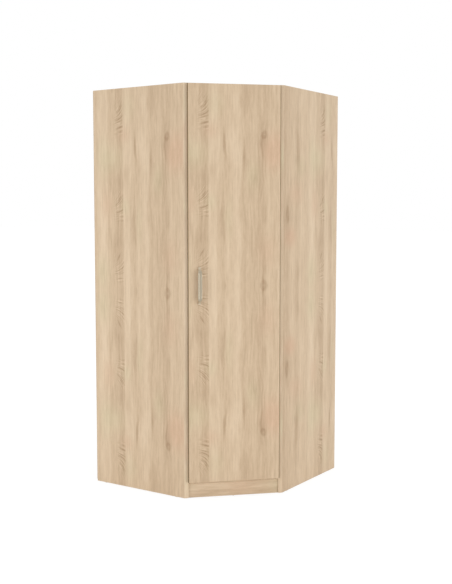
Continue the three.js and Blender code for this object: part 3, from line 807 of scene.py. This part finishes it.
def bow_block(settings):
    """The bow: a section carried along its side view, and the rim attribute of its points. With e
    the ease from the bow's end over the leg, the front's distance from the door is
    foot + (proud - foot) e^0.8, the back's is (proud - thick) e^0.8 over a shorter leg, and the
    width goes from foot width to full by e. The section is a superellipse, x = cos^n a,
    y = sin^n a, hollowed in front by a parabola."""
    low, high = corners("handle")
    middle, half = (high[2] + low[2]) / 2, (high[2] - low[2]) / 2
    front, face = span("handle", TO_BACK)
    left, right = span("handle", TO_RIGHT)
    proud = face - front
    station = np.linspace(-1, 1, settings.stations)
    station = np.sign(station) * (1 - (1 - np.abs(station)) ** CROWDING)
    outer_z, back_half = station * half, half - BACK_START * settings.leg
    inner_z = station * back_half
    reach = ease((half - np.abs(outer_z)) / settings.leg)
    back_reach = ease((back_half - np.abs(inner_z)) / (settings.leg / 2))
    outer = settings.foot + (proud - settings.foot) * reach ** FULLNESS
    inner = (proud - settings.thick) * back_reach ** FULLNESS
    width = (settings.foot_width + (right - left - settings.foot_width) * reach) / 2

    angle = np.linspace(0, 2 * np.pi, BOW_SIDES, endpoint=False) + np.pi / BOW_SIDES
    x = np.sign(np.cos(angle)) * np.abs(np.cos(angle)) ** SQUARENESS
    y = np.sign(np.sin(angle)) * np.abs(np.sin(angle)) ** SQUARENESS
    frontness = (1 - y) / 2
    dip = settings.hollow * np.clip(1 - (x / HOLLOW_REACH) ** 2, 0, 1) * (y < 0)

    def between(back, ahead):
        return back[:, None] * (1 - frontness) + ahead[:, None] * frontness

    away = between(inner, outer) - dip * np.clip(2 * outer / proud - 1, 0, 1)[:, None]
    across = (left + right) / 2 + width[:, None] * x
    # The rim attribute carries painted shade in the hollow and painted light on the rims and the legs'
    # ends
    rim = 1 - dip / settings.hollow + END_PAINTED_LIGHT * (1 - reach[:, None])
    return swept(door_place(across, face - away, middle + between(inner_z, outer_z))), rim


HEAD_SIDES, HEAD_RINGS = 56, 15  # points round a screw head, and rings from its rim inwards
HEAD_CORE = 0.03  # innermost ring, as a share of the head's radius
ARM_HALF = 0.12  # half width of the cross's arms, as a share of the radius
SKIRT_SHARE = 0.2  # height of the skirt below the dome, as a share of the rise


def cross_head(radius, rise, arm_reach=0.60, sink=0.95):
    """Screw head: a dome, height = rise sqrt(1 - (r / radius)^2 / 1.1), on a polar grid and a
    short skirt. In the cross it sinks by sink x rise x (2 - 2 narrow) x (4 - 4 far), each bracket
    held from 0 to 1: narrow is the smaller of |x| and |y| over half an arm's width, and far is
    the larger one over the arms' reach, which is a share of the radius."""
    ring = np.linspace(1, HEAD_CORE, HEAD_RINGS)[:, None] * radius
    angle = np.linspace(0, 2 * np.pi, HEAD_SIDES, endpoint=False)
    x, y = ring * np.cos(angle), ring * np.sin(angle)
    dome = rise * np.sqrt(1 - (ring / radius) ** 2 / 1.1)
    narrow = np.minimum(np.abs(x), np.abs(y)) / (ARM_HALF * radius)
    far = np.maximum(np.abs(x), np.abs(y)) / (arm_reach * radius)
    cut = sink * rise * np.clip(2 - 2 * narrow, 0, 1) * np.clip(4 - 4 * far, 0, 1)
    skirt = np.stack([x[0], y[0], np.full(HEAD_SIDES, -SKIRT_SHARE * rise)], axis=-1)
    return swept(np.concatenate([skirt[None], np.stack([x, y, dome - cut], axis=-1)]))


DOME_SHARE = 0.86  # height of a handle screw's dome, as a share of its head's
SHANK = 0.002  # radius of a handle screw's shank
SHANK_LENGTH = 0.021  # from inside the bow's foot through the door to its head
SHANK_PROUD = 0.003  # how far it stands out of the door's front, inside the foot
SHANK_SIDES = 20


def handle_screw(node):
    """A cross head in the place of the node's head, and a straight shank through the door."""
    across, height = span(node, TO_RIGHT), centre_of(node)[2]
    rise = span(node, TO_BACK)[1] - DOOR_INNER
    seat = DOOR_INNER + (1 - DOME_SHARE) * rise
    start = DOOR_FRONT - SHANK_PROUD
    head = cross_head((across[1] - across[0]) / 2, rise * DOME_SHARE)
    shank = revolved([(SHANK, 0.0), (SHANK, SHANK_LENGTH)], SHANK_SIDES)
    return [
        placed(block, door_place(np.mean(across), back, height), TO_RIGHT, UP, TO_BACK)
        for block, back in ((head, seat), (shank, start))
    ]


class WARDROBE_OT_handle(Operator):
    """Bow handle on two screws"""
    bl_idname = "wardrobe.handle"
    bl_label = "Handle"

    def execute(self, context):
        settings = context.scene.wardrobe_handle
        block, rim = bow_block(settings)
        handle = piece("bow_handle", [block], "door", brushed_nickel(settings.color))
        keep_values(handle.data, "rim", "POINT", rim)
        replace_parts(handle, "handle")
        zinc = screw_zinc("handle_screw_zinc")
        for node in ("handle_screw_1", "handle_screw_2"):
            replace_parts(piece(node + "_form", handle_screw(node), "door", zinc), node)
        return {"FINISHED"}


# Rail

RAIL_WALL = 0.0015  # thickness of the tube's wall
RAIL_SIDES = 96  # points round it
BRACKET_EDGE = 0.0005  # rounding of the brackets' edges
BRACKET_FOOT = 0.003  # thickness of a bracket's foot, which lies under the hat shelf
BRACKET_SCREW = 0.007  # from the foot's ends to its screws


def rail_block():
    """The tube: the section of its wall turned about the rail's axis. Both ends of the wall are
    half circles, radius - lip + lip cos a from the axis and lip (1 - sin a) from the rail's end,
    with lip half the wall's thickness."""
    left, right = span("hanging_rail", TO_RIGHT)
    low, high = corners("hanging_rail")
    radius, lip = (high[2] - low[2]) / 2, RAIL_WALL / 2
    turn = np.linspace(0, np.pi, ROUND_POINTS)
    rim = np.stack([radius - lip + lip * np.cos(turn), lip * (1 - np.sin(turn))], 1)
    profile = np.concatenate([rim[::-1], rim * (1, -1) + (0, right - left)])
    start = door_place(left, np.mean(span("hanging_rail", TO_BACK)), (low[2] + high[2]) / 2)
    return placed(revolved(profile, RAIL_SIDES, wrap_rows=True), start, TO_BACK, UP, TO_RIGHT)


class WARDROBE_OT_rail(Operator):
    """Hanging rail, its brackets and their screws"""
    bl_idname = "wardrobe.rail"
    bl_label = "Hanging rail"

    def execute(self, context):
        settings = context.scene.wardrobe_fittings
        chrome = plated("chrome_plate", settings.chrome, 0.10, 0.04)
        tube = piece("rail_tube", [rail_block()], "cabinet", chrome)
        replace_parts(tube, "hanging_rail")
        screws = []
        under = corners("hat_shelf")[0][2] - BRACKET_FOOT
        for node in ("rail_bracket_left", "rail_bracket_right"):
            softened(node, "cabinet", chrome, BRACKET_EDGE)
            along, (near, far) = np.mean(span(node, TO_RIGHT)), span(node, TO_BACK)
            for back in (near + BRACKET_SCREW, far - BRACKET_SCREW):
                head = cross_head(settings.screw, settings.screw_rise)
                screws.append(placed(head, door_place(along, back, under), TO_RIGHT, TO_BACK, -UP))
        piece("rail_screws", screws, "cabinet", screw_zinc("rail_screw_zinc"))
        return {"FINISHED"}


# Hinges

CUP_MIDDLE = 0.028  # from the door's right edge to the middle of a cup
CUP_SCREW = 0.024  # from there up and down to the cup's screws
CUP_SCREW_RISE = 0.0013  # height of their heads
CUP_FLANGE = 0.0014  # thickness of the flange that lies on the door
PLATE_WING = 0.002  # thickness of a mounting plate's wings
PLATE_SCREW = 0.016  # from the plate's middle up and down to its screws
ARM_TOP = 0.0175  # from the side panel's face to the top of an arm
ARM_SCREWS = (-0.007, 0.015)  # places of the arm's screws, back from the plate's middle
ARM_SCREW, ARM_SCREW_RISE = 0.0032, 0.0009  # radius and height of their heads


class WARDROBE_OT_hinges(Operator):
    """Concealed hinges with plates, arms, links, cups and screws"""
    bl_idname = "wardrobe.hinges"
    bl_label = "Hinges"

    def execute(self, context):
        settings = context.scene.wardrobe_fittings
        nickel = plated("hinge_nickel", settings.nickel, 0.36, 0.05)
        zinc = screw_zinc("hinge_screw_zinc")
        cup_screws, cabinet_screws = [], []
        for n in HINGES:
            bodies = {"plate": "cabinet", "arm": "cabinet", "link": f"link_{n}", "cup": "door"}
            for part, body in bodies.items():
                softened(f"hinge_{part}_{n}", body, nickel, settings.soft)
            height = centre_of(f"hinge_cup_{n}")[2]
            middle, face = centre_of(f"hinge_plate_{n}"), corners(f"hinge_plate_{n}")[1][0]
            for sign in (-1, 1):
                up = height + sign * CUP_SCREW
                spot = door_place(DOOR_RIGHT - CUP_MIDDLE, DOOR_INNER + CUP_FLANGE, up)
                head = cross_head(settings.screw, CUP_SCREW_RISE)
                cup_screws.append(placed(head, spot, TO_RIGHT, UP, TO_BACK))
            for sign in (-1, 1):
                spot = (face - PLATE_WING, middle[1], middle[2] + sign * PLATE_SCREW)
                head = cross_head(settings.screw, settings.screw_rise)
                cabinet_screws.append(placed(head, spot, NORTH, UP, -EAST))
            for back in ARM_SCREWS:
                spot = (RIGHT_FACE - ARM_TOP, middle[1] + back, middle[2])
                head = cross_head(ARM_SCREW, ARM_SCREW_RISE)
                cabinet_screws.append(placed(head, spot, NORTH, UP, -EAST))
        piece("cup_screws", cup_screws, "door", zinc)
        piece("plate_screws", cabinet_screws, "cabinet", zinc)
        return {"FINISHED"}


# Small fittings

PIN_EDGE = 0.0008  # rounding of the shelf pins' edges
CAM_INSET = 0.034  # from a side panel's inner face to the middle of a cam
CAM_PLACES = (-0.42, -0.16, 0.06)  # of the cams along a side panel
CAM_RISE = 0.0007  # how far a cam's face stands out
CAM_ARMS, CAM_SINK = 0.65, 1.6  # reach and depth of its cross, as shares of radius and rise
BUMPER_SIDES, BUMPER_RINGS, GLIDE_SIDES = 40, 8, 48
# A glide's profile from its rim at the board to its hollow middle, as shares of radius and height
GLIDE_SHARES = ((1, 1), (1, 0.5), (0.96, 0.2), (0.85, 0.0), (0.30, 0.0), (0.26, 0.3))


def cam_spots():
    """Places of the connector cams under the top and under the bottom, near both side panels."""
    spots = []
    for node in ("top_panel", "bottom_panel"):
        under = corners(node)[0][2]
        for along in CAM_PLACES:
            spots.append((along, LEFT_FACE + CAM_INSET, under))
            spots.append((RIGHT_FACE - CAM_INSET, -along, under))
    return spots


def bumper_block(node):
    """Door bumper: a dome turned about its axis, radius cos^0.7 a from it and
    thick (1/4 + 3/4 sin a) off the door, over an upright rim."""
    across, depth, height = (span(node, way) for way in (TO_RIGHT, TO_BACK, UP))
    radius, thick = (across[1] - across[0]) / 2, depth[1] - depth[0]
    rise = np.linspace(0, np.pi / 2, BUMPER_RINGS, endpoint=False)
    dome = np.stack([radius * np.cos(rise) ** 0.7, thick * (0.25 + 0.75 * np.sin(rise))], 1)
    profile = np.concatenate([[(radius, 0.0)], dome])
    spot = door_place(np.mean(across), depth[0], np.mean(height))
    return placed(revolved(profile, BUMPER_SIDES), spot, TO_RIGHT, UP, TO_BACK)


def glide_block(node):
    """Glide: a low disc turned about its axis, with a chamfered rim and a hollow middle."""
    low, high = corners(node)
    profile = np.array(GLIDE_SHARES) * ((high[0] - low[0]) / 2, high[2] - low[2])
    spot = ((low[0] + high[0]) / 2, (low[1] + high[1]) / 2, 0.0)
    return placed(revolved(profile, GLIDE_SIDES), spot, EAST, NORTH, UP)


class WARDROBE_OT_fittings(Operator):
    """Shelf pins, connector cams, door bumpers and glides"""
    bl_idname = "wardrobe.fittings"
    bl_label = "Small fittings"

    def execute(self, context):
        settings = context.scene.wardrobe_fittings
        zinc = plated("cast_zinc", settings.zinc, 0.45, 0.16)
        plastic = moulded_plastic(settings.plastic)
        for node in ("left_1", "left_2", "right_1", "right_2"):
            softened("shelf_pin_" + node, "cabinet", zinc, PIN_EDGE)
        cam = cross_head(settings.cam, CAM_RISE, CAM_ARMS, CAM_SINK)
        cams = [placed(cam, spot, EAST, NORTH, -UP) for spot in cam_spots()]
        piece("connector_cams", cams, "cabinet", zinc)
        for node in ("door_bumper_bottom", "door_bumper_top"):
            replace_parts(piece(node + "_form", [bumper_block(node)], "door", plastic), node)
        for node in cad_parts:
            if node.startswith("glide_"):
                glide = piece(node + "_form", [glide_block(node)], "cabinet", plastic)
                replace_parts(glide, node)
        return {"FINISHED"}


# Stage

FLOOR_REACH = 60.0  # half the floor's side
FLOOR_TONE = (243, 243, 243)  # its screen colour
FLOOR_GLOW, GLOW_SHARE = 1.16, 0.72  # light of its own where it is seen, and that light's share
LAMP_AIM = Vector((0.15, -0.15, 0.7))  # the lamps stand level with this place and look at it
LAMP_DISTANCE, LAMP_SIZE = 4.5, 1.2
KEY_AZIMUTH, FILL_AZIMUTH = math.radians(80), math.radians(-20)
CAMERA_REACH = 200  # how far it sees, past the floor's corners


def lamp(name, azimuth, power):
    """A square soft lamp that looks level at the aim from an azimuth."""
    data = bpy.data.lights.new(name, "AREA")
    data.energy = power
    data.size = LAMP_SIZE
    thing = added(name, data)
    back = Vector((math.sin(azimuth), -math.cos(azimuth), 0.0))
    thing.location = LAMP_AIM + back * LAMP_DISTANCE
    thing.rotation_euler = (-back).to_track_quat("-Z", "Y").to_euler()


def seen_share(w):
    """1 for rays that show the background: from the camera, in gloss or through glass."""
    path = w.add("ShaderNodeLightPath").outputs
    mirrored = w.math("MAXIMUM", path["Is Glossy Ray"], path["Is Transmission Ray"])
    return w.math("MAXIMUM", path["Is Camera Ray"], mirrored)


def white_floor():
    """Pale floor that shows nearly white where it is seen, and keeps a soft shadow."""
    w = Wires("white_floor")
    diffuse = w.add("ShaderNodeBsdfDiffuse", {"Color": (*screen(*FLOOR_TONE), 1)})
    glow = w.add("ShaderNodeEmission", {"Color": (1, 1, 1, 1), "Strength": FLOOR_GLOW})
    both = w.add("ShaderNodeMixShader", {
        "Fac": w.times(seen_share(w), GLOW_SHARE), 1: diffuse.outputs[0], 2: glow.outputs[0],
    })
    w.add("ShaderNodeOutputMaterial", {"Surface": both.outputs[0]})
    return w.owner


def daylight_world(strength):
    """Even white light, and a plain white background where it is seen."""
    w = Wires("daylight", "worlds")
    level = w.add("ShaderNodeMapRange", {"Value": seen_share(w), "To Min": strength, "To Max": 1.0})
    background = w.add("ShaderNodeBackground", {"Color": (1, 1, 1, 1), "Strength": level.outputs[0]})
    w.add("ShaderNodeOutputWorld", {"Surface": background.outputs[0]})
    return w.owner


class WARDROBE_OT_stage(Operator):
    """Floor, lamps, daylight and camera"""
    bl_idname = "wardrobe.stage"
    bl_label = "Stage"

    def execute(self, context):
        settings = context.scene.wardrobe_stage
        mesh = bpy.data.meshes.new("floor")
        signs = np.array([(-1, -1, 0), (1, -1, 0), (1, 1, 0), (-1, 1, 0)])
        mesh.from_pydata((signs * FLOOR_REACH).tolist(), [], [(0, 1, 2, 3)])
        mesh.materials.append(white_floor())
        floor = added("floor", mesh)
        context.scene.world = daylight_world(settings.daylight)
        lamp("key_lamp", KEY_AZIMUTH, settings.key)
        lamp("fill_lamp", FILL_AZIMUTH, settings.fill)
        camera = added("camera", bpy.data.cameras.new("camera"))
        camera.data.lens = settings.lens
        camera.data.clip_end = CAMERA_REACH
        camera.location = (settings.right, -settings.before, settings.high)
        camera.rotation_euler = Euler((math.pi / 2 - settings.pitch, 0, settings.azimuth))
        context.scene.camera = camera
        context.scene.view_settings.view_transform = "Standard"
        return {"FINISHED"}


OPERATORS = (
    WARDROBE_OT_boards, WARDROBE_OT_backs, WARDROBE_OT_handle, WARDROBE_OT_rail, WARDROBE_OT_hinges,
    WARDROBE_OT_fittings, WARDROBE_OT_stage,
)
SETTINGS = {
    "wardrobe_boards": BoardSettings, "wardrobe_handle": HandleSettings,
    "wardrobe_fittings": FittingSettings, "wardrobe_stage": StageSettings,
}


class WARDROBE_PT_panel(Panel):
    """Lists the wardrobe's pieces and their settings"""
    bl_label = "Corner Wardrobe"
    bl_space_type = "VIEW_3D"
    bl_region_type = "UI"
    bl_category = "Wardrobe"

    def draw(self, context):
        column = self.layout.column()
        for operator in OPERATORS:
            column.operator(operator.bl_idname)
        for name, group in SETTINGS.items():
            column.separator()
            for key in group.__annotations__:
                column.prop(getattr(context.scene, name), key)


CLASSES = (*SETTINGS.values(), *OPERATORS, WARDROBE_PT_panel)


def register():
    for group in CLASSES:
        bpy.utils.register_class(group)
    for name, group in SETTINGS.items():
        setattr(bpy.types.Scene, name, PointerProperty(type=group))


def unregister():
    for name in SETTINGS:
        delattr(bpy.types.Scene, name)
    for group in reversed(CLASSES):
        bpy.utils.unregister_class(group)


def main():
    register()
    bpy.ops.wardrobe.boards()
    bpy.ops.wardrobe.backs()
    bpy.ops.wardrobe.handle()
    bpy.ops.wardrobe.rail()
    bpy.ops.wardrobe.hinges()
    bpy.ops.wardrobe.fittings()
    bpy.ops.wardrobe.stage()


if __name__ == "__main__":
    main()
